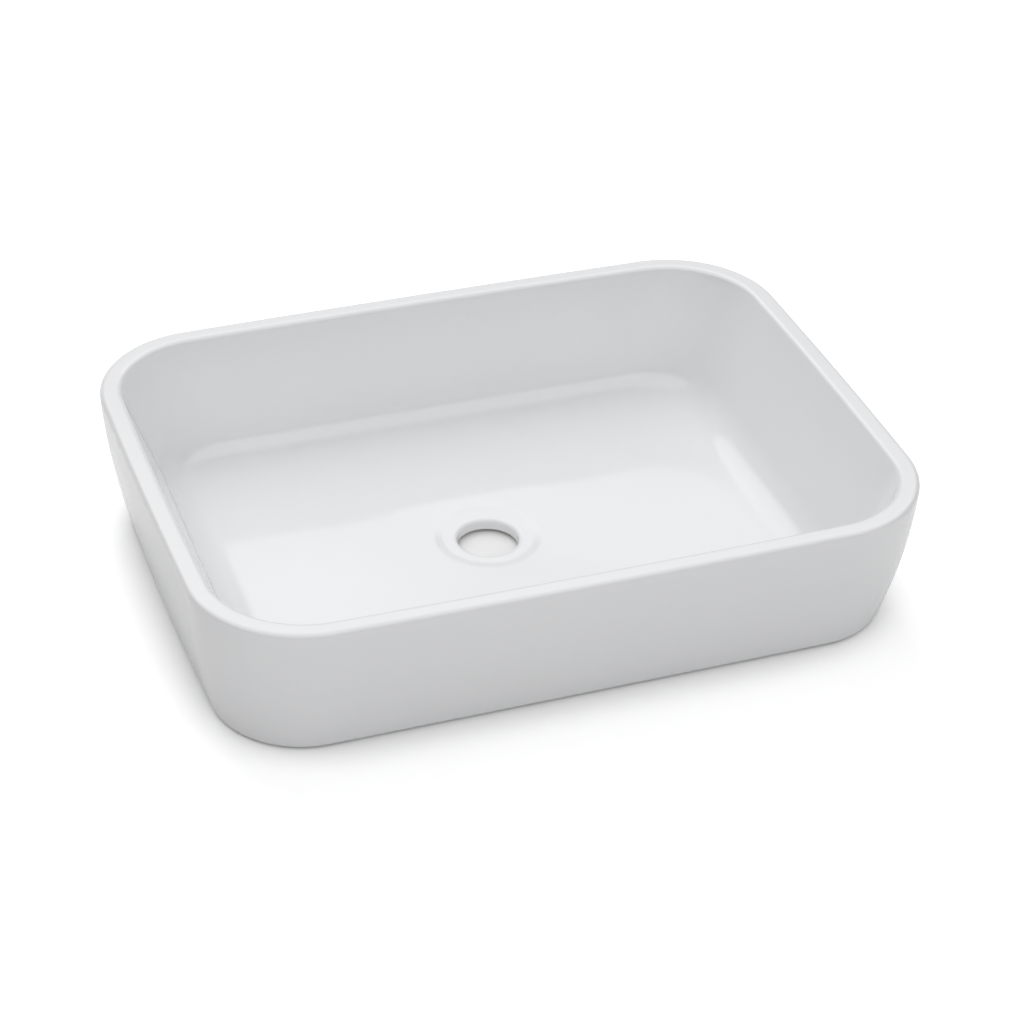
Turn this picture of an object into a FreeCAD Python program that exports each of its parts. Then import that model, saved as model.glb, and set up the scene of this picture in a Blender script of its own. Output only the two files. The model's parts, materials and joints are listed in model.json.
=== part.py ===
import FreeCAD, Part
import os

import Sketcher
from FreeCAD import Vector

# A rectangular countertop basin: one glazed ceramic casting that stands on its own foot ring.
# Millimetres. X runs along the long side, Y from the front to the rear, +Z up.
# The origin is on the counter, under the middle of the outline.

NODE = "basin_body"

# Name of each driving dimension, its value, and what it measures.
DRIVING_SIZES = [
    ("overall_length", 540.0, "outside length at the rim"),
    ("overall_width", 408.0, "outside width at the rim"),
    ("overall_height", 112.0, "counter to the flat of the rim"),
    ("corner_round", 82.0, "radius of the four outside corners"),
    ("end_taper", 16.0, "how far each end draws in from the rim to the counter"),
    ("side_taper", 23.0, "how far each long side draws in from the rim to the counter"),
    ("rim_wall", 15.0, "thickness of the wall at the rim"),
    ("end_wall_lean", 36.5, "how far an inner end wall leans in from the rim to the floor"),
    ("side_wall_lean", 10.5, "how far an inner long wall leans in from the rim to the floor"),
    ("floor_height", 14.5, "counter to the floor along the walls"),
    ("floor_fall", 2.2, "how far the floor falls from the walls to the waste seat"),
    ("waste_offset_x", -6.5, "waste centre from the middle, along X"),
    ("waste_offset_y", 7.5, "waste centre from the middle, along Y"),
    ("waste_bore", 46.0, "diameter of the waste hole"),
    ("seat_radius", 40.0, "outer radius of the shallow seat round the waste hole"),
    ("seat_depth", 1.2, "depth of that seat under the floor beside it"),
    ("seat_slope", 6.0, "width of the sloping step round the seat"),
    ("foot_width", 22.0, "width of the foot ring that stands on the counter"),
    ("recess_depth", 2.2, "height of the recess inside the foot ring"),
    ("rim_outer_round", 3.6, "rounding of the outer edge of the rim"),
    ("rim_inner_round", 4.0, "rounding of the inner edge of the rim"),
    ("base_round", 6.5, "rounding of the outer edge at the counter"),
    ("waste_top_round", 1.3, "rounding of the waste hole's upper edge"),
    ("bowl_side_round", 17.0, "rounding between the floor and the long walls"),
    ("bowl_end_round", 30.0, "rounding between the floor and the end walls"),
]

# Sizes that features share, as formulas over the driving dimensions. The floor starts to fall
# where the nearer pair of walls, with its rounding, leaves it level.
BOWL_DEPTH = "(Sizes.overall_height - Sizes.floor_height)"
FALL_TO_LONG_WALLS = (
    "(Sizes.overall_width / 2 - Sizes.rim_wall - Sizes.side_wall_lean"
    " - Sizes.bowl_side_round - abs(Sizes.waste_offset_y))")
FALL_TO_END_WALLS = (
    "(Sizes.overall_length / 2 - Sizes.rim_wall - Sizes.end_wall_lean"
    " - Sizes.bowl_end_round - abs(Sizes.waste_offset_x))")
FALL_REACH = "min(%s; %s)" % (FALL_TO_LONG_WALLS, FALL_TO_END_WALLS)

# How the sketcher numbers the points of a line or a circle, and a sketch's own origin.
POINT = {"start": 1, "end": 2, "centre": 3}
ORIGIN = (-1, 1)

SAME_LEVEL = 0.01


def fill_sheet(document):
    """Put every driving dimension in the sheet, with its alias and its meaning."""
    sheet = document.addObject("Spreadsheet::Sheet", "Sizes")
    for row, (alias, size, meaning) in enumerate(DRIVING_SIZES, start=1):
        sheet.set("A%d" % row, alias)
        sheet.set("B%d" % row, str(size))
        sheet.set("C%d" % row, meaning)
        sheet.setAlias("B%d" % row, alias)
    document.recompute()
    return sheet


def origin_plane(body, role):
    """The body's own origin plane with this role."""
    return next(plane for plane in body.Origin.OriginFeatures if plane.Role == role)


def new_sketch(body, name, role, offset):
    """A sketch on one of the body's origin planes, moved off it by formulas for x, y and z."""
    sketch = body.newObject("Sketcher::SketchObject", name)
    sketch.AttachmentSupport = [(origin_plane(body, role), "")]
    sketch.MapMode = "FlatFace"
    sketch.Visibility = False
    for axis, formula in offset.items():
        sketch.setExpression("AttachmentOffset.Base." + axis, formula)
    return sketch


def constrain(sketch, rules, dimensions):
    """Give the sketch its rules and its dimensions, each dimension tied to a formula."""
    sketch.addConstraint(rules + [dimension for dimension, _ in dimensions])
    for index, (_, formula) in enumerate(dimensions, start=len(rules)):
        sketch.setExpression("Constraints[%d]" % index, formula)


def draw_closed(sketch, corners):
    """Draw straight lines round these corners, and return the rules that join them."""
    following = corners[1:] + corners[:1]
    lines = [Part.LineSegment(corner, after) for corner, after in zip(corners, following)]
    sketch.addGeometry(lines, False)
    return [
        Sketcher.Constraint("Coincident", line, POINT["end"], (line + 1) % len(lines), POINT["start"])
        for line in range(len(lines))
    ]


def rectangle_sketch(body, name, level, length, width):
    """A rectangle round the middle at this level, with its length and width as formulas."""
    sketch = new_sketch(body, name, "XY_Plane", {"z": level})
    long_side = sketch.evalExpression(length)
    short_side = sketch.evalExpression(width)
    right, rear = long_side / 2, short_side / 2
    corners = [Vector(-right, -rear), Vector(right, -rear), Vector(right, rear), Vector(-right, rear)]
    rules = draw_closed(sketch, corners)
    front_line, right_line, rear_line, left_line = range(len(corners))
    start, end = POINT["start"], POINT["end"]
    rules += [
        Sketcher.Constraint("Horizontal", front_line),
        Sketcher.Constraint("Vertical", right_line),
        Sketcher.Constraint("Horizontal", rear_line),
        Sketcher.Constraint("Vertical", left_line),
        Sketcher.Constraint("Symmetric", front_line, start, rear_line, start, *ORIGIN),
    ]
    dimensions = [
        (Sketcher.Constraint("DistanceX", front_line, start, front_line, end, long_side), length),
        (Sketcher.Constraint("DistanceY", right_line, start, right_line, end, short_side), width),
    ]
    constrain(sketch, rules, dimensions)
    return sketch


def circle_sketch(body, name, level, radius):
    """A circle round the waste axis at this level."""
    offset = {"x": "Sizes.waste_offset_x", "y": "Sizes.waste_offset_y", "z": level}
    sketch = new_sketch(body, name, "XY_Plane", offset)
    start_radius = sketch.evalExpression(radius)
    circle = sketch.addGeometry(Part.Circle(Vector(), Vector(0, 0, 1), start_radius), False)
    rules = [Sketcher.Constraint("Coincident", circle, POINT["centre"], *ORIGIN)]
    dimensions = [(Sketcher.Constraint("Radius", circle, start_radius), radius)]
    constrain(sketch, rules, dimensions)
    return sketch


def lean_walls(body, name, axis, of_bowl, angle):
    """Lean the flat walls that face along this axis, hinged at the level of the rim: the outside
    walls draw in towards the foot, the walls of the bowl towards the floor."""
    carrier = body.Tip
    faces = carrier.Shape.Faces

    def is_chosen(face):
        if not isinstance(face.Surface, Part.Plane):
            return False
        normal = face.normalAt(0, 0)
        facing = getattr(normal, axis)
        beside = getattr(face.CenterOfMass, axis)
        looks_inward = facing * beside < 0
        return abs(facing) == max(abs(part) for part in normal) and looks_inward == of_bowl

    rim = max(range(len(faces)), key=lambda index: faces[index].CenterOfMass.z)
    walls = [index for index in range(len(faces)) if is_chosen(faces[index])]
    draft = body.newObject("PartDesign::Draft", name)
    draft.Base = (carrier, ["Face%d" % (index + 1) for index in walls])
    draft.NeutralPlane = (carrier, ["Face%d" % (rim + 1)])
    draft.Reversed = not of_bowl
    draft.setExpression("Angle", angle)
    body.Document.recompute()
    return draft


def add_block(body):
    """The block that the casting is cut from. Its sides stay upright and its corners square until
    the bowl and the recess are cut, because their own upright walls would break through."""
    pad = body.newObject("PartDesign::Pad", "block")
    pad.Profile = rectangle_sketch(
        body, "rim_outline", "Sizes.overall_height", "Sizes.overall_length", "Sizes.overall_width")
    pad.Reversed = True
    pad.setExpression("Length", "Sizes.overall_height")
    body.Document.recompute()
    return pad


def cut_bowl(body, sheet):
    """The bowl: flat walls that lean in to a level floor, with corners that follow the outside,
    so that the rim is equally wide all round."""
    pocket = body.newObject("PartDesign::Pocket", "bowl")
    pocket.Profile = rectangle_sketch(
        body, "mouth_outline", "Sizes.overall_height",
        "Sizes.overall_length - 2 * Sizes.rim_wall", "Sizes.overall_width - 2 * Sizes.rim_wall")
    pocket.setExpression("Length", BOWL_DEPTH)
    body.Document.recompute()
    lean_walls(body, "end_lean", "x", True, "atan(Sizes.end_wall_lean / %s)" % BOWL_DEPTH)
    lean_walls(body, "side_lean", "y", True, "atan(Sizes.side_wall_lean / %s)" % BOWL_DEPTH)
    return round_edges(
        body, "bowl_corners", "Sizes.corner_round - Sizes.rim_wall",
        rising_edges, sheet.floor_height, sheet.overall_height)


def cut_floor_fall(body, sheet):
    """The floor's fall to the waste and the shallow seat round it, turned about the waste axis."""
    offset = {"x": "Sizes.waste_offset_x", "y": "Sizes.floor_height", "z": "-Sizes.waste_offset_y"}
    sketch = new_sketch(body, "floor_profile", "XZ_Plane", offset)
    reach = sketch.evalExpression(FALL_REACH)
    seat_level = -sheet.floor_fall - sheet.seat_depth
    corners = [
        Vector(0, 0),
        Vector(0, seat_level),
        Vector(sheet.seat_radius - sheet.seat_slope, seat_level),
        Vector(sheet.seat_radius, -sheet.floor_fall),
        Vector(reach, 0),
    ]
    rules = draw_closed(sketch, corners)
    axis_line, seat_line, step_line, fall_line, top_line = range(len(corners))
    start, end = POINT["start"], POINT["end"]
    rules += [
        Sketcher.Constraint("Coincident", axis_line, start, *ORIGIN),
        Sketcher.Constraint("Vertical", axis_line),
        Sketcher.Constraint("Horizontal", seat_line),
        Sketcher.Constraint("Horizontal", top_line),
    ]
    dimensions = [
        (
            Sketcher.Constraint("DistanceY", fall_line, start, fall_line, end, sheet.floor_fall),
            "Sizes.floor_fall",
        ),
        (
            Sketcher.Constraint("DistanceY", step_line, start, step_line, end, sheet.seat_depth),
            "Sizes.seat_depth",
        ),
        (
            Sketcher.Constraint("DistanceX", step_line, start, step_line, end, sheet.seat_slope),
            "Sizes.seat_slope",
        ),
        (
            Sketcher.Constraint("DistanceX", *ORIGIN, step_line, end, sheet.seat_radius),
            "Sizes.seat_radius",
        ),
        (
            Sketcher.Constraint("DistanceX", *ORIGIN, fall_line, end, reach),
            FALL_REACH,
        ),
    ]
    constrain(sketch, rules, dimensions)
    groove = body.newObject("PartDesign::Groove", "floor_fall")
    groove.Profile = sketch
    groove.ReferenceAxis = (sketch, ["V_Axis"])
    groove.Angle = 360
    return groove


def cut_waste_hole(body, sheet):
    """The waste hole, straight through the floor."""
    pocket = body.newObject("PartDesign::Pocket", "waste_hole")
    pocket.Profile = circle_sketch(body, "waste_circle", "0", "Sizes.waste_bore / 2")
    pocket.Type = "ThroughAll"
    pocket.Midplane = True
    return pocket


def cut_underside(body, sheet):
    """The recess under the floor, which leaves a foot ring along the outside."""
    inset = "2 * (%s + Sizes.foot_width)"
    pocket = body.newObject("PartDesign::Pocket", "recess")
    pocket.Profile = rectangle_sketch(
        body, "recess_outline", "0",
        "Sizes.overall_length - " + inset % "Sizes.end_taper",
        "Sizes.overall_width - " + inset % "Sizes.side_taper")
    pocket.Reversed = True
    pocket.setExpression("Length", "Sizes.recess_depth")
    body.Document.recompute()
    return round_edges(
        body, "recess_corners", "Sizes.corner_round - Sizes.foot_width",
        rising_edges, 0, sheet.recess_depth)


def shape_outside(body, sheet):
    """The outside: walls that draw in from the rim to the counter, with round corners."""
    lean_walls(body, "end_taper", "x", False, "atan(Sizes.end_taper / Sizes.overall_height)")
    lean_walls(body, "side_taper", "y", False, "atan(Sizes.side_taper / Sizes.overall_height)")
    return round_edges(
        body, "outside_corners", "Sizes.corner_round", rising_edges, 0, sheet.overall_height)


def level_face(shape, level):
    """The largest flat horizontal face at this level."""
    def lies_there(face):
        box = face.BoundBox
        return abs(box.ZMin - level) < SAME_LEVEL and abs(box.ZMax - level) < SAME_LEVEL
    return max((face for face in shape.Faces if lies_there(face)), key=lambda face: face.Area)


def outer_loop(shape, level):
    """Edges round the outside of the flat face at this level."""
    return level_face(shape, level).OuterWire.Edges


def inner_loops(shape, level):
    """Edges of the holes in the flat face at this level."""
    face = level_face(shape, level)
    holes = [wire for wire in face.Wires if not wire.isSame(face.OuterWire)]
    return [edge for wire in holes for edge in wire.Edges]


def rising_edges(shape, bottom, top):
    """Edges that rise from one level to the other."""
    def rises(edge):
        box = edge.BoundBox
        return abs(box.ZMin - bottom) < SAME_LEVEL and abs(box.ZMax - top) < SAME_LEVEL
    return [edge for edge in shape.Edges if rises(edge)]


def numbered(shape, chosen):
    """The chosen edges of the shape, each with its number in the shape."""
    return [
        (number, edge)
        for number, edge in enumerate(shape.Edges, start=1)
        if any(edge.isSame(other) for other in chosen)
    ]


def round_edges(body, name, radius, choose, *levels):
    """Round the edges of the body, as it stands, that `choose` finds at these levels."""
    carrier = body.Tip
    chosen = numbered(carrier.Shape, choose(carrier.Shape, *levels))
    fillet = body.newObject("PartDesign::Fillet", name)
    fillet.Base = (carrier, ["Edge%d" % number for number, _ in chosen])
    fillet.setExpression("Radius", radius)
    body.Document.recompute()
    return fillet


def round_small_edges(body, sheet):
    """The soft edges that glaze and casting leave on the rim, the foot and the waste hole."""
    rim = sheet.overall_height
    foot = 0
    seat = sheet.floor_height - sheet.floor_fall - sheet.seat_depth
    round_edges(body, "rim_outer_edge", "Sizes.rim_outer_round", outer_loop, rim)
    round_edges(body, "rim_inner_edge", "Sizes.rim_inner_round", inner_loops, rim)
    round_edges(body, "foot_outer_edge", "Sizes.base_round", outer_loop, foot)
    round_edges(body, "waste_top_edge", "Sizes.waste_top_round", inner_loops, seat)


def round_bowl(document, body, sheet):
    """Blend the floor into the walls: a tight radius along the long walls that opens out round
    each corner to the wide radius of the ends."""
    shape = body.Shape
    floor_reach = sheet.overall_length / 2 - sheet.rim_wall - sheet.end_wall_lean
    corner_middle = floor_reach - (sheet.corner_round - sheet.rim_wall) / 2

    def radius_at(edge, parameter):
        on_end = abs(edge.valueAt(parameter).x) > corner_middle
        return sheet.bowl_end_round if on_end else sheet.bowl_side_round

    blend = document.addObject("Part::Fillet", NODE)
    blend.Label = NODE
    blend.Base = body
    blend.Edges = [
        (number, radius_at(edge, edge.FirstParameter), radius_at(edge, edge.LastParameter))
        for number, edge in numbered(shape, outer_loop(shape, sheet.floor_height))
    ]
    body.Visibility = False
    document.recompute()
    return blend


def removed_by(feature, before):
    """Volume that a cutting feature took away; a cut that misses the casting is an error."""
    removed = before - feature.Shape.Volume
    if removed <= 0:
        raise RuntimeError("%s cut nothing" % feature.Label)
    return removed


def build(document, sheet):
    """Model the casting and return its finished solid."""
    body = document.addObject("PartDesign::Body", "casting")
    body.Label = "casting"
    volume = add_block(body).Shape.Volume
    for make_cut in (cut_bowl, cut_underside, shape_outside, cut_floor_fall, cut_waste_hole):
        cut = make_cut(body, sheet)
        document.recompute()
        print("%-14s takes %7.1f cm3" % (cut.Label, removed_by(cut, volume) / 1000))
        volume = cut.Shape.Volume
    round_small_edges(body, sheet)
    return round_bowl(document, body, sheet)


def check(document, finished):
    """Every object up to date and every sketch fixed, and one valid closed solid at the end."""
    for item in document.Objects:
        if "Invalid" in item.State or "Error" in item.State:
            raise RuntimeError("%s is %s" % (item.Label, item.State))
        if item.TypeId == "Sketcher::SketchObject" and not item.FullyConstrained:
            raise RuntimeError("%s is not fully constrained" % item.Label)
    shape = finished.Shape
    if shape.isNull() or not shape.isValid() or len(shape.Solids) != 1:
        raise RuntimeError("the casting is not one valid solid")


def main():
    document = FreeCAD.newDocument("countertop_basin")
    sheet = fill_sheet(document)
    casting = build(document, sheet)
    check(document, casting)
    os.makedirs("parts", exist_ok=True)
    casting.Shape.exportStep(os.path.join("parts", NODE + ".step"))
    box = casting.Shape.optimalBoundingBox(False, False)
    print("box %.2f x %.2f x %.2f mm" % (box.XLength, box.YLength, box.ZLength))
    print("faces %d, volume %.1f cm3" % (len(casting.Shape.Faces), casting.Shape.Volume / 1000))


main()
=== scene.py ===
# %% [markdown]
# # A countertop basin in glazed ceramic
# This file builds the looks of one piece: a slip-cast, glazed and fired basin that stands on a worktop.
# It reads as a lesson. Each step says what the piece or finish is on the real object, how it could be made
# in Blender, and why this way was chosen. The measured model is loaded first, and everything is fitted to it.

# %% The measured model
import json
import math

import bpy
from mathutils import Matrix, Vector, noise


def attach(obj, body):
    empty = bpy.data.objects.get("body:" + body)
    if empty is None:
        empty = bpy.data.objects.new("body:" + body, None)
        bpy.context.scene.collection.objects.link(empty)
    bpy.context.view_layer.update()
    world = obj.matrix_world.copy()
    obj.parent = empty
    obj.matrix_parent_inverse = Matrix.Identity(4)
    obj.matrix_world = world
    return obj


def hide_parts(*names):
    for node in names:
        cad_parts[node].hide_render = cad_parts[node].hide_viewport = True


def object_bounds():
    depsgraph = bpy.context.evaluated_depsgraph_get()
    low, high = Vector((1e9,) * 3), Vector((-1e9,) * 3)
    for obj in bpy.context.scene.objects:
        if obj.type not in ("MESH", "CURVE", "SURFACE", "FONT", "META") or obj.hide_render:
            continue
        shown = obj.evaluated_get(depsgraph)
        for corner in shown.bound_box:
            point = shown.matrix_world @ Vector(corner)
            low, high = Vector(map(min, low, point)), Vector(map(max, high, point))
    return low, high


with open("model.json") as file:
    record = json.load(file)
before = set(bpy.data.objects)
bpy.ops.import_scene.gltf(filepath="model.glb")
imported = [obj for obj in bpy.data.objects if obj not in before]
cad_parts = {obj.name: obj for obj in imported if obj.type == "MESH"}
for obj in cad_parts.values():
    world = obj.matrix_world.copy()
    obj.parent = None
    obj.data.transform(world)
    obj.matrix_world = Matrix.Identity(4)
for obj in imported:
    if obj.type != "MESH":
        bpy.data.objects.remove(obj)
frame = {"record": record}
cad_low, cad_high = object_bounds()
MM = 0.001
cad_size = cad_high - cad_low
print("measured model, mm:", [round(side / MM, 1) for side in cad_size])

# %% [markdown]
# ## The camera
# The photograph looks down on one corner of the basin. Its viewing angle, distance and slight tilt come from
# fitting a plain rectangular box with rounded corners to the outline, so they are written as a photographer
# would set a tripod: how far round, how high, how far away, and how much the camera leans. A long lens
# keeps the far side nearly as large as the near side.

# %% The camera
IMAGE_SIDE = 1024
CAMERA_ROUND = math.radians(-20.80)
CAMERA_UP = math.radians(34.33)
CAMERA_LEAN = math.radians(1.845)
CAMERA_DISTANCE = 2.0943
CAMERA_AIM_RIGHT = 0.00824
CAMERA_AIM_UP = -0.01501
CAMERA_AIM_HEIGHT = 0.05567
CAMERA_FAR = 50.0
FOCAL_PIXELS = 2834.9
SENSOR_WIDTH = 36.0


def camera_axes(round_by, up_by, lean):
    """Right, up and backward directions of a camera that looks at the origin, leaning by a small angle."""
    level = math.cos(up_by)
    back = Vector((math.sin(round_by) * level, -math.cos(round_by) * level, math.sin(up_by)))
    level_right = Vector((0, 0, 1)).cross(back).normalized()
    level_up = back.cross(level_right)
    right = level_right * math.cos(lean) + level_up * math.sin(lean)
    up = level_up * math.cos(lean) - level_right * math.sin(lean)
    return right, up, back


right, up, back = camera_axes(CAMERA_ROUND, CAMERA_UP, CAMERA_LEAN)
camera_data = bpy.data.cameras.new("camera")
camera_data.sensor_width = SENSOR_WIDTH
camera_data.lens = FOCAL_PIXELS / IMAGE_SIDE * SENSOR_WIDTH
camera_data.clip_end = CAMERA_FAR
camera = bpy.data.objects.new("camera", camera_data)
place = (back * CAMERA_DISTANCE + right * CAMERA_AIM_RIGHT + up * CAMERA_AIM_UP
         + Vector((0, 0, CAMERA_AIM_HEIGHT)))
camera.matrix_world = Matrix.Translation(place) @ Matrix((right, up, back)).transposed().to_4x4()
bpy.context.scene.collection.objects.link(camera)
bpy.context.scene.camera = camera
print("camera at, mm:", [round(value / MM) for value in place], "lens", round(camera_data.lens, 1))

# %% [markdown]
# ## The sizes the shell is drawn from
# A basin is cast in a plaster mould, so its shape is one skin: up the outside, over the rim, down into the
# bowl, across the floor and through the waste hole. A few sizes drive it. The overall ones come from the
# measured model, and the waste hole comes from the record's mounting faces, so they always agree. The
# outline is drawn to the rim's sharp edge. That edge lies a little outside the measured box, and rounding it
# brings the skin back to the box.

# %% The sizes
EDGE_BEYOND_END = 0.55 * MM
EDGE_BEYOND_SIDE = 0.82 * MM
half_length = cad_size.x / 2 + EDGE_BEYOND_END
half_width = cad_size.y / 2 + EDGE_BEYOND_SIDE
rim_height = cad_high.z
mounts = {mount["name"]: mount for mount in frame["record"]["mounts"]}
waste = Vector(mounts["waste_hole"]["pos_m"])
bore_radius = mounts["waste_hole"]["dims"]["r_mm"] * MM
seat_level = mounts["waste_seat"]["pos_m"][2]
recess_level = mounts["waste_backnut_face"]["pos_m"][2]

END_TAPER = 16 * MM
SIDE_TAPER = 23 * MM
WALL_BULGE = 2.7 * MM
RIM_WALL = 15 * MM
END_WALL_LEAN = 36.5 * MM
SIDE_WALL_LEAN = 10.5 * MM
FOOT_WIDTH = 22 * MM
FLOOR_HEIGHT = 14.5 * MM
FLOOR_FALL = 2.2 * MM
SEAT_RADIUS = 40 * MM
SEAT_SLOPE = 6 * MM
print("half length and width, mm:", round(half_length / MM, 2), round(half_width / MM, 2))
print("waste hole, mm:", [round(value / MM, 1) for value in waste], "radius", bore_radius / MM)

# %% [markdown]
# ## One outline, four slightly bowed sides
# Fired clay never keeps dead straight sides: seen from above, each side of the basin bows out by a few
# millimetres between large round corners. A rectangle with a bevel would look machined. Instead the
# outline is made of tangent arcs, a wide one for every side and a tight one for every corner, so the curve
# runs on without a kink. Each quarter is worked out on its own, so that each side can have its own bow.

# %% The outline
SIDE_STEPS = 20
CORNER_STEPS = 32
END_STEPS = 14


def quarter(a, b, corner, long_bow, end_bow):
    """Points and outward directions of the quarter from (a, 0) to (0, b): end arc, corner arc, long arc."""
    long_radius = (a * a + long_bow * long_bow) / (2 * long_bow)
    end_radius = (b * b + end_bow * end_bow) / (2 * end_bow)
    long_centre = Vector((0, b - long_radius))
    end_centre = Vector((a - end_radius, 0))
    between = end_centre - long_centre
    gap = between.length
    reach_long = long_radius - corner
    reach_end = end_radius - corner
    along = (reach_long ** 2 - reach_end ** 2 + gap ** 2) / (2 * gap)
    across = math.sqrt(reach_long ** 2 - along ** 2)
    centre = long_centre + between * (along / gap) + Vector((between.y, -between.x)) * (across / gap)
    low = math.atan2(centre.y - end_centre.y, centre.x - end_centre.x)
    high = math.atan2(centre.y - long_centre.y, centre.x - long_centre.x)
    arcs = ((end_centre, end_radius, 0.0, low, END_STEPS),
            (centre, corner, low, high, CORNER_STEPS),
            (long_centre, long_radius, high, math.pi / 2, SIDE_STEPS))
    points = []
    for middle, radius, start, end, steps in arcs:
        for step in range(steps):
            angle = start + (end - start) * step / steps
            outward = Vector((math.cos(angle), math.sin(angle)))
            points.append((middle + outward * radius, outward))
    points.append((Vector((0, b)), Vector((0, 1))))
    return points


def outline(a, b, corner, bows):
    """The closed outline, counter-clockwise from the right end's middle. bows is front, back, left, right."""
    front, rear, left, right_end = bows
    turns = ((1, 1, rear, right_end), (-1, 1, rear, left), (-1, -1, front, left), (1, -1, front, right_end))
    loop = []
    for number, (x_sign, y_sign, long_bow, end_bow) in enumerate(turns):
        part = [(Vector((p.x * x_sign, p.y * y_sign)), Vector((n.x * x_sign, n.y * y_sign)))
                for p, n in quarter(a, b, corner, long_bow, end_bow)]
        if number % 2:
            part.reverse()
        loop += part[:-1]
    return loop


RIM_BOWS = (3.0 * MM, 3.0 * MM, 3.4 * MM, 3.4 * MM)
RIM_CORNER = 83 * MM
rim_outer = outline(half_length, half_width, RIM_CORNER, RIM_BOWS)
stations = len(rim_outer)
print("stations round the rim:", stations)

# %% [markdown]
# ## How the outline changes with height
# The outer wall leans in towards the foot and swells very slightly at half height, like the side of a mould
# that releases easily. The bowl's inner wall leans much more at the two ends than along the sides. Both are
# described by one small rule each: the outline's numbers at a given height.

# %% Outlines at any height
BASE_CORNER = 66 * MM
BASE_BOWS = (0.5 * MM, 0.5 * MM, 5.0 * MM, 5.0 * MM)
FLOOR_CORNER = 54 * MM
FLOOR_BOWS = (0.5 * MM, 0.5 * MM, 3.0 * MM, 3.0 * MM)


def blend(low, high, share):
    """The value a share of the way from low to high."""
    return low + (high - low) * share


def blend_bows(low, high, share):
    """Each bow a share of the way from its low value to its high one."""
    return tuple(blend(l, h, share) for l, h in zip(low, high))


def outer_outline(height, inset=0.0):
    """The outer wall's outline at a height, moved inwards by inset."""
    share = height / rim_height
    swell = WALL_BULGE * 4 * share * (1 - share)
    a = blend(half_length - END_TAPER, half_length, share) + swell - inset
    b = blend(half_width - SIDE_TAPER, half_width, share) + swell - inset
    corner = blend(BASE_CORNER, RIM_CORNER, share) - inset
    return outline(a, b, corner, blend_bows(BASE_BOWS, RIM_BOWS, share))


rim_inner = outline(half_length - RIM_WALL, half_width - RIM_WALL, RIM_CORNER - RIM_WALL, RIM_BOWS)
floor_a = half_length - RIM_WALL - END_WALL_LEAN
floor_b = half_width - RIM_WALL - SIDE_WALL_LEAN
floor_edge = outline(floor_a, floor_b, FLOOR_CORNER, FLOOR_BOWS)
print("bowl floor, mm:", round(2 * floor_a / MM), "by", round(2 * floor_b / MM))

# %% [markdown]
# ## Rounding a profile's corners
# Every edge of glazed ware is round, because glaze draws back from a sharp edge in the kiln. A Bevel modifier
# could round them, but it can't follow a radius that changes along the edge. So each upright slice of the skin
# is a chain of straight runs, and one helper replaces a corner of it with a true arc.

# %% Rounding helper
ARC_STEPS = 10


def round_corner(before, corner, after, radius, steps=ARC_STEPS):
    """Points of the arc that touches the two runs meeting at corner, from the first run to the second."""
    back_way = (before - corner).normalized()
    on_way = (after - corner).normalized()
    half = back_way.angle(on_way) / 2
    reach = radius / math.tan(half)
    middle = corner + (back_way + on_way).normalized() * (radius / math.sin(half))
    first = corner + back_way * reach - middle
    last = corner + on_way * reach - middle
    sweep = math.pi - 2 * half
    points = []
    for step in range(steps + 1):
        share = step / steps
        weight_first = math.sin((1 - share) * sweep) / math.sin(sweep)
        weight_last = math.sin(share * sweep) / math.sin(sweep)
        points.append(middle + first * weight_first + last * weight_last)
    return points


def at(flat_point, height):
    """A point of an outline lifted to a height."""
    return Vector((flat_point.x, flat_point.y, height))


def run(start, end, steps, ease=0.0):
    """Points strictly between two ends, drawn towards both ends as ease goes from 0 to 1."""
    points = []
    for step in range(1, steps):
        share = step / steps
        eased = 0.5 - 0.5 * math.cos(math.pi * share)
        points.append(start.lerp(end, blend(share, eased, ease)))
    return points


sample = round_corner(Vector((0, 0, 1)), Vector((0, 0, 0)), Vector((1, 0, 0)), 0.25)
print("a quarter round has", len(sample), "points, from", tuple(sample[0]), "to", tuple(sample[-1]))

# %% [markdown]
# ## The slice of the skin at one station
# The slice starts under the basin at the waste hole, goes out along the recessed underside, round the foot,
# up the outer wall, over the rim, down the bowl wall, round the deep curve into the floor, across the
# sloping floor to the shallow seat of the waste fitting, and back through the hole. The curve between wall
# and floor is the basin's softest one. It is tighter along the sides than at the ends, so its radius changes
# station by station through the corners. Rows lie closer where the skin bends, to keep the gloss smooth.

# %% The slice
BORE_TOP_ROUND = 3.0 * MM
BORE_FOOT_ROUND = 0.8 * MM
BORE_FOOT_LENGTH = 3 * MM
RECESS_ROUND = 1.0 * MM
RECESS_FOOT_ROUND = 0.6 * MM
BASE_ROUND = 6.5 * MM
RIM_OUTER_ROUND = 3.6 * MM
RIM_INNER_ROUND = 4.0 * MM
BOWL_SIDE_ROUND = 17 * MM
BOWL_END_ROUND = 30 * MM
SEAT_ROUND = 10 * MM
SUPPORT = 0.6 * MM
WALL_ROWS = 12
WALL_START = 14 * MM
WALL_END = 9 * MM
SMALL_STEPS = 4
LIP_STEPS = 6
RECESS_FOOT_STEPS = 3
BOWL_STEPS = 18
RING_SHARES = (0.03, 0.35, 0.7, 0.97)
ROUND_FROM = 0.04
ROUND_SPAN = 0.92
wall_heights = [WALL_START + (rim_height - WALL_END - WALL_START) * row / WALL_ROWS
                for row in range(WALL_ROWS + 1)]
outer_rows = [outer_outline(height) for height in wall_heights]
base_outline = outer_outline(0.0)
foot_inside = outer_outline(0.0, FOOT_WIDTH)


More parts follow.
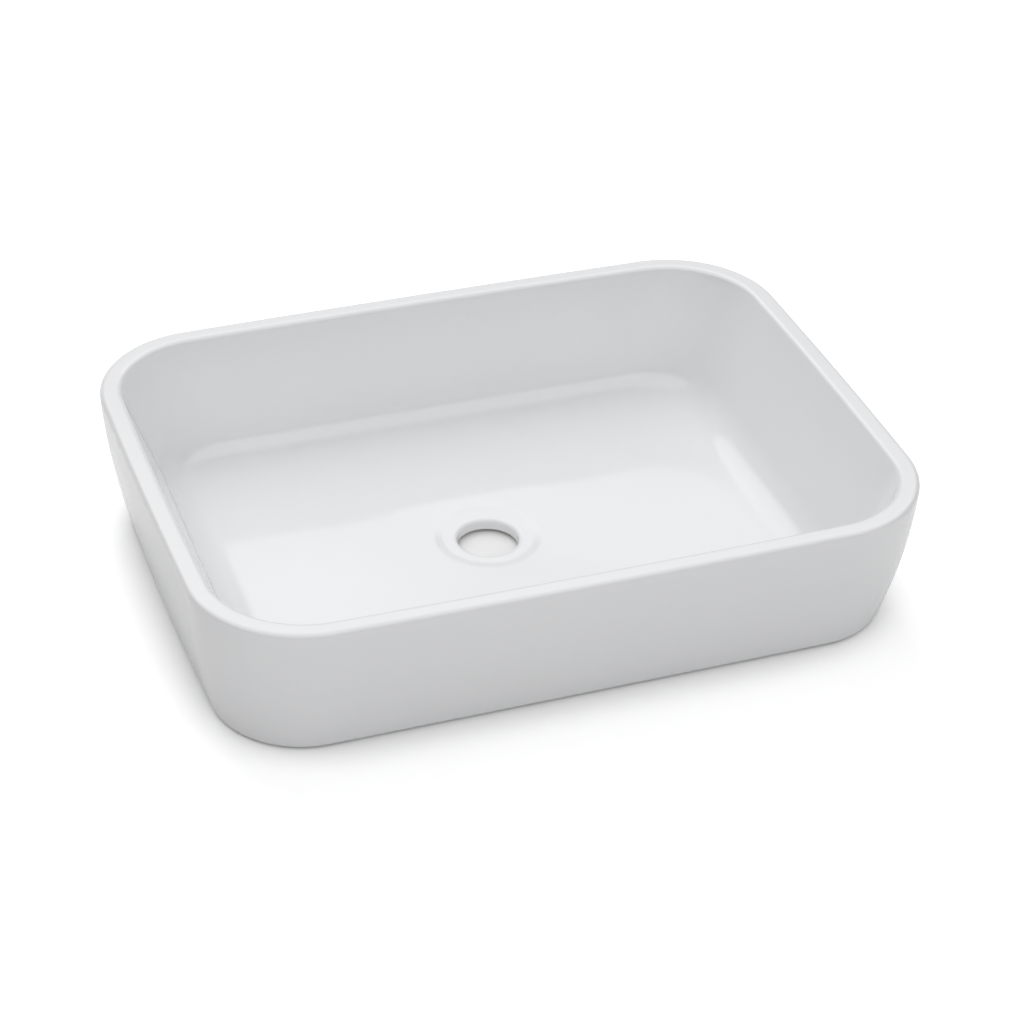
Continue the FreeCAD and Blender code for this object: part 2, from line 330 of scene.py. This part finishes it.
def bowl_round(outward):
    """Radius between wall and floor where the floor's edge faces a given way: small on the sides."""
    turn = math.atan2(abs(outward.y), abs(outward.x)) / (math.pi / 2)
    share = min(max((turn - ROUND_FROM) / ROUND_SPAN, 0.0), 1.0)
    soft = share * share * (3 - 2 * share)
    return blend(BOWL_END_ROUND, BOWL_SIDE_ROUND, soft)


def bowl_curve(number):
    """The arc between bowl wall and floor at a station, in the plane square to the floor's edge."""
    foot, outward = floor_edge[number]
    lip = rim_inner[number][0]
    lean_out = (lip - foot).dot(outward)
    drain = (waste.xy - foot).normalized()
    fall = FLOOR_FALL / ((waste.xy - foot).length - SEAT_RADIUS) * abs(drain.dot(outward))
    corner = at(foot, FLOOR_HEIGHT)
    wall_way = Vector((outward.x * lean_out, outward.y * lean_out, rim_height - FLOOR_HEIGHT))
    floor_way = Vector((-outward.x, -outward.y, -fall))
    return round_corner(corner + wall_way, corner, corner + floor_way, bowl_round(outward), BOWL_STEPS)


def circle_point(number, radius, height):
    """A point on a circle round the waste hole, in line with the station's place on the floor's edge."""
    towards = (floor_edge[number][0] - waste.xy).normalized()
    return at(waste.xy + towards * radius, height)


def slice_of(number):
    """Rows of points from under the waste hole, round the whole skin, to the top of the hole."""
    rows = []

    def add(name, points):
        rows.extend((name, point) for point in points)

    bore_low = circle_point(number, bore_radius, recess_level)
    ceiling_edge = at(foot_inside[number][0], recess_level)
    foot_edge = at(foot_inside[number][0], 0.0)
    base_edge = at(base_outline[number][0], 0.0)
    walls = [at(row[number][0], height) for row, height in zip(outer_rows, wall_heights)]
    rim_out = at(rim_outer[number][0], rim_height)
    rim_in = at(rim_inner[number][0], rim_height)

    bore_up = at(bore_low, recess_level + BORE_FOOT_LENGTH)
    mouth = round_corner(bore_up, bore_low, ceiling_edge, BORE_FOOT_ROUND, SMALL_STEPS)
    recess_top = round_corner(bore_low, ceiling_edge, foot_edge, RECESS_ROUND, SMALL_STEPS)
    recess_foot = round_corner(ceiling_edge, foot_edge, base_edge, RECESS_FOOT_ROUND, RECESS_FOOT_STEPS)
    base = round_corner(foot_edge, base_edge, walls[0], BASE_ROUND)
    add("bare", mouth + run(mouth[-1], recess_top[0], 12, 0.6) + recess_top + recess_foot)
    add("bare", [recess_foot[-1].lerp(base[0], share) for share in RING_SHARES])
    add("glaze", base + run(base[-1], walls[0], 3) + walls)

    outside = round_corner(walls[-1], rim_out, rim_in, RIM_OUTER_ROUND)
    curve = bowl_curve(number)
    inside = round_corner(rim_out, rim_in, curve[0], RIM_INNER_ROUND)
    near = SUPPORT / (inside[0] - outside[-1]).length
    add("glaze", run(walls[-1], outside[0], 3) + outside)
    add("glaze", [outside[-1].lerp(inside[0], share) for share in (near, 0.5, 1 - near)])
    add("glaze", inside + run(inside[-1], curve[0], 9, 0.5) + curve)

    seat_top = circle_point(number, SEAT_RADIUS, FLOOR_HEIGHT - FLOOR_FALL)
    seat_foot = circle_point(number, SEAT_RADIUS - SEAT_SLOPE, seat_level)
    hole_top = circle_point(number, bore_radius, seat_level)
    hole_foot = circle_point(number, bore_radius, recess_level)
    step_down = round_corner(curve[-1], seat_top, seat_foot, SEAT_ROUND, SMALL_STEPS)
    step_out = round_corner(seat_top, seat_foot, hole_top, SEAT_ROUND, SMALL_STEPS)
    lip = round_corner(seat_foot, hole_top, hole_foot, BORE_TOP_ROUND, LIP_STEPS)
    add("glaze", run(curve[-1], step_down[0], 26, 0.7) + step_down)
    add("glaze", run(step_down[-1], step_out[0], 3) + step_out)
    add("glaze", run(step_out[-1], lip[0], 4) + lip + run(lip[-1], mouth[0], 5))
    return rows


slices = [slice_of(number) for number in range(stations)]
rows_per_slice = len(slices[0])
print("rows in a slice:", rows_per_slice, "points in the skin:", rows_per_slice * stations)

# %% [markdown]
# ## The skin
# The slices are joined into one closed mesh of four-sided faces. It has no cap and no seam: like the real
# casting, it is a ring with the waste hole through it. The underside of the foot and the recess inside it
# are wiped bare before firing, so their faces get a second material.

# %% Building the skin
FINISHES = ("glaze", "bare")


def build_skin(name):
    """One closed mesh from the slices, each face marked with the finish it has."""
    points = [point for one in slices for _, point in one]
    faces = []
    finishes = []
    for station in range(stations):
        this_side = station * rows_per_slice
        next_side = ((station + 1) % stations) * rows_per_slice
        for row in range(rows_per_slice):
            following = (row + 1) % rows_per_slice
            faces.append((this_side + row, this_side + following, next_side + following, next_side + row))
            both_bare = slices[0][row][0] == "bare" and slices[0][following][0] == "bare"
            finishes.append(FINISHES.index("bare" if both_bare else "glaze"))
    mesh = bpy.data.meshes.new(name)
    mesh.from_pydata([tuple(point) for point in points], [], faces)
    for face, finish in zip(mesh.polygons, finishes):
        face.material_index = finish
        face.use_smooth = True
    mesh.update()
    skin = bpy.data.objects.new(name, mesh)
    bpy.context.scene.collection.objects.link(skin)
    return skin


basin = build_skin("basin")
skin_area = sum(face.area for face in basin.data.polygons)
print("faces:", len(basin.data.polygons), "skin area, m2:", round(skin_area, 3))

# %% [markdown]
# ## The unevenness of cast and glazed clay
# Slip-cast ware leaves the mould true to a fraction of a millimetre, and drying, firing and a flowing glaze
# bend it a little. The eye can't see that in the outline, but it sees it in the gloss: straight edges
# mirrored in the bowl's floor waver. The change is real, so it is made in the mesh, with slow noise along
# each point's own direction. It fades out at the foot, which is ground flat, and at the hole, which is cut.

# %% Unevenness in the mesh
WAVE_DEPTH = 0.16 * MM
WAVE_PER_METRE = 9.0
WAVE_START = Vector((4.2, 1.7, 0.3))
CALM_AROUND_HOLE = 30 * MM
RIM_SHARE = 0.35


def waver(skin):
    """Moves the skin's points along their normals by slow noise, and returns the largest move."""
    bpy.context.view_layer.update()
    normals = [vertex.normal.copy() for vertex in skin.data.vertices]
    largest = 0.0
    for vertex, normal in zip(skin.data.vertices, normals):
        place = vertex.co
        from_hole = (place.xy - waste.xy).length
        calm_hole = min(max((from_hole - CALM_AROUND_HOLE) / CALM_AROUND_HOLE, 0.0), 1.0)
        calm_foot = min(max((place.z - BASE_ROUND) / BASE_ROUND, 0.0), 1.0)
        calm_rim = RIM_SHARE if place.z > rim_height - RIM_OUTER_ROUND else 1.0
        wave = noise.noise(place * WAVE_PER_METRE + WAVE_START)
        move = wave * WAVE_DEPTH * calm_hole * calm_foot * calm_rim
        vertex.co = place + normal * move
        largest = max(largest, abs(move))
    skin.data.update()
    return largest


print("largest move, mm:", round(waver(basin) / MM, 3))

# %% [markdown]
# ## What every fired surface shares
# Glaze and bare clay differ in gloss, but both have the same slow unevenness and the same faint cloudiness
# from the clay body. Each of these is a node group with named values, made once and placed in both
# materials with values of its own.

# %% Shared effects
CLOUD_FROM = 0.3
CLOUD_TO = 0.7


def node_group(name, inputs, outputs):
    """An empty shader group with the named inputs (name, type, value) and outputs (name, type)."""
    group = bpy.data.node_groups.new(name, "ShaderNodeTree")
    for label, kind, value in inputs:
        socket = group.interface.new_socket(name=label, in_out="INPUT", socket_type=kind)
        socket.default_value = value
    for label, kind in outputs:
        group.interface.new_socket(name=label, in_out="OUTPUT", socket_type=kind)
    return group, group.nodes.new("NodeGroupInput"), group.nodes.new("NodeGroupOutput")


def uneven_surface_group():
    """Slow ripple and fine orange peel, given out as one height."""
    group, given, out = node_group(
        "uneven_surface",
        [("Ripple Scale", "NodeSocketFloat", 14.0), ("Ripple Share", "NodeSocketFloat", 0.8),
         ("Peel Scale", "NodeSocketFloat", 260.0), ("Peel Share", "NodeSocketFloat", 0.2)],
        [("Height", "NodeSocketFloat")])
    nodes, links = group.nodes, group.links
    place = nodes.new("ShaderNodeTexCoord")
    ripple = nodes.new("ShaderNodeTexNoise")
    ripple.inputs["Detail"].default_value = 1.0
    peel = nodes.new("ShaderNodeTexNoise")
    peel.inputs["Detail"].default_value = 2.0
    ripple_part = nodes.new("ShaderNodeMath")
    ripple_part.operation = "MULTIPLY"
    both = nodes.new("ShaderNodeMath")
    both.operation = "MULTIPLY_ADD"
    links.new(place.outputs["Object"], ripple.inputs["Vector"])
    links.new(place.outputs["Object"], peel.inputs["Vector"])
    links.new(given.outputs["Ripple Scale"], ripple.inputs["Scale"])
    links.new(given.outputs["Peel Scale"], peel.inputs["Scale"])
    links.new(ripple.outputs["Fac"], ripple_part.inputs[0])
    links.new(given.outputs["Ripple Share"], ripple_part.inputs[1])
    links.new(peel.outputs["Fac"], both.inputs[0])
    links.new(given.outputs["Peel Share"], both.inputs[1])
    links.new(ripple_part.outputs["Value"], both.inputs[2])
    links.new(both.outputs["Value"], out.inputs["Height"])
    return group


def clay_cloud_group():
    """Faint cloudiness: mixes two close colours by slow noise."""
    group, given, out = node_group(
        "clay_cloud",
        [("Light Colour", "NodeSocketColor", (0.9, 0.9, 0.9, 1)),
         ("Deep Colour", "NodeSocketColor", (0.8, 0.8, 0.8, 1)),
         ("Cloud Scale", "NodeSocketFloat", 7.0)],
        [("Color", "NodeSocketColor")])
    nodes, links = group.nodes, group.links
    place = nodes.new("ShaderNodeTexCoord")
    cloud = nodes.new("ShaderNodeTexNoise")
    cloud.inputs["Detail"].default_value = 3.0
    spread = nodes.new("ShaderNodeMapRange")
    spread.inputs["From Min"].default_value = CLOUD_FROM
    spread.inputs["From Max"].default_value = CLOUD_TO
    colour = nodes.new("ShaderNodeMix")
    colour.data_type = "RGBA"
    links.new(place.outputs["Object"], cloud.inputs["Vector"])
    links.new(given.outputs["Cloud Scale"], cloud.inputs["Scale"])
    links.new(cloud.outputs["Fac"], spread.inputs["Value"])
    links.new(spread.outputs["Result"], colour.inputs["Factor"])
    links.new(given.outputs["Light Colour"], colour.inputs["A"])
    links.new(given.outputs["Deep Colour"], colour.inputs["B"])
    links.new(colour.outputs["Result"], out.inputs["Color"])
    return group


uneven_surface = uneven_surface_group()
clay_cloud = clay_cloud_group()
print("shared groups:", uneven_surface.name, clay_cloud.name)

# %% [markdown]
# ## White gloss glaze and bare fired clay
# A white sanitary glaze is opaque glass: the light that comes back is mostly diffuse white with a thin, sharp
# mirror on top. A Principled shader with a low roughness does both. The clouding stays within one percent,
# because a good white glaze looks flat until light grazes it. Where the foot was wiped, the clay is a
# little warmer, and matt.

# %% The materials
GLAZE_LIGHT = (0.845, 0.848, 0.858, 1)
GLAZE_DEEP = (0.835, 0.839, 0.850, 1)
GLAZE_ROUGHNESS = 0.07
GLAZE_IOR = 1.5
CLAY_LIGHT = (0.78, 0.765, 0.73, 1)
CLAY_DEEP = (0.70, 0.68, 0.64, 1)
CLAY_ROUGHNESS = 0.75


def fired_material(name, light, deep, cloud_scale, roughness, ripple, peel, bump):
    """A fired-ceramic material that places both shared groups with its own values."""
    material = bpy.data.materials.new(name)
    material.use_nodes = True
    nodes, links = material.node_tree.nodes, material.node_tree.links
    shader = nodes["Principled BSDF"]
    shader.inputs["Roughness"].default_value = roughness
    shader.inputs["IOR"].default_value = GLAZE_IOR
    cloud = nodes.new("ShaderNodeGroup")
    cloud.node_tree = clay_cloud
    cloud.inputs["Light Colour"].default_value = light
    cloud.inputs["Deep Colour"].default_value = deep
    cloud.inputs["Cloud Scale"].default_value = cloud_scale
    uneven = nodes.new("ShaderNodeGroup")
    uneven.node_tree = uneven_surface
    uneven.inputs["Ripple Share"].default_value = ripple
    uneven.inputs["Peel Share"].default_value = peel
    relief = nodes.new("ShaderNodeBump")
    relief.inputs["Strength"].default_value = 1.0
    relief.inputs["Distance"].default_value = bump
    links.new(cloud.outputs["Color"], shader.inputs["Base Color"])
    links.new(uneven.outputs["Height"], relief.inputs["Height"])
    links.new(relief.outputs["Normal"], shader.inputs["Normal"])
    return material


glaze = fired_material("white_gloss_glaze", GLAZE_LIGHT, GLAZE_DEEP, cloud_scale=7.0,
                       roughness=GLAZE_ROUGHNESS, ripple=0.9, peel=0.02, bump=0.1 * MM)
bare_clay = fired_material("bare_fired_clay", CLAY_LIGHT, CLAY_DEEP, cloud_scale=40.0,
                           roughness=CLAY_ROUGHNESS, ripple=0.2, peel=1.0, bump=0.15 * MM)
basin.data.materials.append(glaze)
basin.data.materials.append(bare_clay)
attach(basin, "root")
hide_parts("basin_body")
print("materials on the basin:", [slot.name for slot in basin.data.materials])

# %% [markdown]
# ## The floor it stands on
# The photograph's ground is plain white without an edge, and the basin's shadow on it is short: it is deep
# under the overhanging wall and gone a few fingers' width further out. A large matt plane gives the shadow.
# The plane also glows white, a painted light: fully for rays that see it directly, and a third of that glow
# for mirrored ones. An Ambient Occlusion node lets the glow through only where the floor lies open, which
# paints shade: the paper is white away from the basin, and the shadow under the wall stays deep. The patch
# under the basin, which shows through the waste hole, has only a trace of that glow, a faint painted light.

# %% The floor
FLOOR_SIDE = 12.0
FLOOR_COLOUR = (0.83, 0.83, 0.83, 1)
# Strength of the painted glow on the open paper; ambient occlusion cuts it near the basin into painted shade.
OPEN_FLOOR_GLOW = 0.42
# Faint painted glow on the covered patch, a painted light that brightens what shows through the waste hole.
COVERED_FLOOR_GLOW = 0.05
MIRRORED_SHARE = 0.3
OPEN_REACH = 60 * MM
OPEN_FROM = 0.18
OPEN_FULL = 0.76


def floor_plane():
    """A large square with a smaller one in its middle, whose edge the basin covers."""
    half = FLOOR_SIDE / 2
    a = half_length - END_TAPER - FOOT_WIDTH / 2
    b = half_width - SIDE_TAPER - BASE_CORNER / 2
    corners = [(-half, -half, 0), (half, -half, 0), (half, half, 0), (-half, half, 0),
               (-a, -b, 0), (a, -b, 0), (a, b, 0), (-a, b, 0)]
    faces = [(4, 5, 6, 7)] + [(side, (side + 1) % 4, (side + 1) % 4 + 4, side + 4) for side in range(4)]
    mesh = bpy.data.meshes.new("ground")
    mesh.from_pydata(corners, [], faces)
    for face in mesh.polygons[1:]:
        face.material_index = 1
    ground = bpy.data.objects.new("ground", mesh)
    bpy.context.scene.collection.objects.link(ground)
    ground.location.z = cad_low.z
    return ground


def floor_material(name, glow_strength):
    """Matt paper with a painted glow where it is open, fading by ambient occlusion into painted shade near the
    basin: full to the camera, a share of it mirrored.
    """
    material = bpy.data.materials.new(name)
    material.use_nodes = True
    nodes, links = material.node_tree.nodes, material.node_tree.links
    nodes.clear()
    matt = nodes.new("ShaderNodeBsdfDiffuse")
    matt.inputs["Color"].default_value = FLOOR_COLOUR
    # Painted shade: the glow fades where ambient occlusion finds the floor covered, deepening the shadow
    # beside the basin.
    openness = nodes.new("ShaderNodeAmbientOcclusion")
    openness.inputs["Distance"].default_value = OPEN_REACH
    let_through = nodes.new("ShaderNodeMapRange")
    let_through.interpolation_type = "SMOOTHSTEP"
    let_through.inputs["From Min"].default_value = OPEN_FROM
    let_through.inputs["From Max"].default_value = OPEN_FULL
    let_through.inputs["To Max"].default_value = glow_strength
    links.new(openness.outputs["AO"], let_through.inputs["Value"])
    rays = nodes.new("ShaderNodeLightPath")
    seen = nodes.new("ShaderNodeMath")
    seen.operation = "MULTIPLY_ADD"
    seen.inputs[1].default_value = MIRRORED_SHARE
    links.new(rays.outputs["Is Glossy Ray"], seen.inputs[0])
    links.new(rays.outputs["Is Camera Ray"], seen.inputs[2])
    share = nodes.new("ShaderNodeMath")
    share.operation = "MULTIPLY"
    links.new(let_through.outputs["Result"], share.inputs[0])
    links.new(seen.outputs["Value"], share.inputs[1])
    # The painted glow itself: the paper gives out white light though it is no lamp.
    own = nodes.new("ShaderNodeEmission")
    links.new(share.outputs["Value"], own.inputs["Strength"])
    both = nodes.new("ShaderNodeAddShader")
    links.new(matt.outputs["BSDF"], both.inputs[0])
    links.new(own.outputs["Emission"], both.inputs[1])
    out = nodes.new("ShaderNodeOutputMaterial")
    links.new(both.outputs["Shader"], out.inputs["Surface"])
    return material


ground = floor_plane()
ground.data.materials.append(floor_material("covered_paper", COVERED_FLOOR_GLOW))
ground.data.materials.append(floor_material("open_paper", OPEN_FLOOR_GLOW))
print("floor side, m:", FLOOR_SIDE)

# %% [markdown]
# ## Soft studio light
# The faces that look up are the brightest and the outer walls are the darkest, with no hard shadow anywhere:
# a bright room with large soft boxes round the table. The sky is the room. Its colour is a pale grey, which
# shows only in low views, above the floor's far edge. It gives more light from overhead than from the
# sides. The glaze mirrors it dim near the horizon and bright higher up, which gives the rim and the bowl's
# floor a gradient like the one in the photograph. A lamp's hard edge would show in the glaze, so the soft
# boxes light the basin but aren't mirrored, and the bright upper sky stands in for them. Each box is set
# like a stand on the studio floor: how far round the table and how high, in degrees, and how bright, in watts.

# %% The sky and the soft boxes
SKY_COLOUR = (0.8, 0.8, 0.8, 1)
SKY_DIRECT = 1.0
SKY_OVERHEAD = 1.0
MIRRORED_LOW = 0.35
MIRRORED_HIGH = 2.5
MIRRORED_FROM = 0.47
MIRRORED_FULL = 0.62
SOFT_BOX_DISTANCE = 2.7
SOFT_BOX_SIDE = 1.6
SOFT_BOXES = {
    "rear_high": (90, 58, 18.5),
    "rear": (90, 25, 16.0),
    "front": (-91, 25, 14.2),
    "left_high": (180, 55, 4.2),
    "right": (0, 25, 4.0),
}


def make_sky():
    """Pale to the camera, graded by height to the glaze, and to the rest a light that grows overhead."""
    world = bpy.data.worlds.new("sky")
    bpy.context.scene.world = world
    world.use_nodes = True
    nodes, links = world.node_tree.nodes, world.node_tree.links
    nodes.clear()
    place = nodes.new("ShaderNodeTexCoord")
    split = nodes.new("ShaderNodeSeparateXYZ")
    links.new(place.outputs["Generated"], split.inputs["Vector"])
    overhead = nodes.new("ShaderNodeMath")
    overhead.operation = "MULTIPLY"
    overhead.inputs[1].default_value = SKY_OVERHEAD
    height = nodes.new("ShaderNodeMath")
    height.operation = "ABSOLUTE"
    links.new(split.outputs["Z"], height.inputs[0])
    links.new(height.outputs["Value"], overhead.inputs[0])
    rays = nodes.new("ShaderNodeLightPath")
    mirrored = nodes.new("ShaderNodeMix")
    links.new(rays.outputs["Is Glossy Ray"], mirrored.inputs["Factor"])
    links.new(overhead.outputs["Value"], mirrored.inputs["A"])
    ceiling = nodes.new("ShaderNodeMapRange")
    ceiling.interpolation_type = "SMOOTHSTEP"
    ceiling.inputs["From Min"].default_value = MIRRORED_FROM
    ceiling.inputs["From Max"].default_value = MIRRORED_FULL
    ceiling.inputs["To Min"].default_value = MIRRORED_LOW
    ceiling.inputs["To Max"].default_value = MIRRORED_HIGH
    links.new(split.outputs["Z"], ceiling.inputs["Value"])
    links.new(ceiling.outputs["Result"], mirrored.inputs["B"])
    direct = nodes.new("ShaderNodeMath")
    direct.operation = "MAXIMUM"
    links.new(rays.outputs["Is Camera Ray"], direct.inputs[0])
    links.new(rays.outputs["Is Transmission Ray"], direct.inputs[1])
    strength = nodes.new("ShaderNodeMix")
    links.new(direct.outputs["Value"], strength.inputs["Factor"])
    links.new(mirrored.outputs["Result"], strength.inputs["A"])
    strength.inputs["B"].default_value = SKY_DIRECT
    background = nodes.new("ShaderNodeBackground")
    background.inputs["Color"].default_value = SKY_COLOUR
    links.new(strength.outputs["Result"], background.inputs["Strength"])
    out = nodes.new("ShaderNodeOutputWorld")
    links.new(background.outputs["Background"], out.inputs["Surface"])


def make_soft_box(name, round_by, up_by, power):
    """A square area lamp on a sphere round the basin, facing it, that the glaze doesn't mirror."""
    turn, rise = math.radians(round_by), math.radians(up_by)
    way = Vector((math.cos(turn) * math.cos(rise), math.sin(turn) * math.cos(rise), math.sin(rise)))
    data = bpy.data.lights.new(name, "AREA")
    data.shape = "SQUARE"
    data.size = SOFT_BOX_SIDE
    data.energy = power
    lamp = bpy.data.objects.new(name, data)
    lamp.location = way * SOFT_BOX_DISTANCE
    lamp.rotation_euler = (-way).to_track_quat("-Z", "Y").to_euler()
    lamp.visible_glossy = False
    lamp.visible_camera = False
    bpy.context.scene.collection.objects.link(lamp)


make_sky()
for name, (round_by, up_by, power) in SOFT_BOXES.items():
    make_soft_box(name, round_by, up_by, power)
bpy.context.scene.view_settings.view_transform = "Standard"
print("soft boxes, W:", {name: power for name, (_, _, power) in SOFT_BOXES.items()})

# %% [markdown]
# The looks must not change the size. Here the scene is brought up to date.

# %% Bringing the scene up to date
bpy.context.view_layer.update()
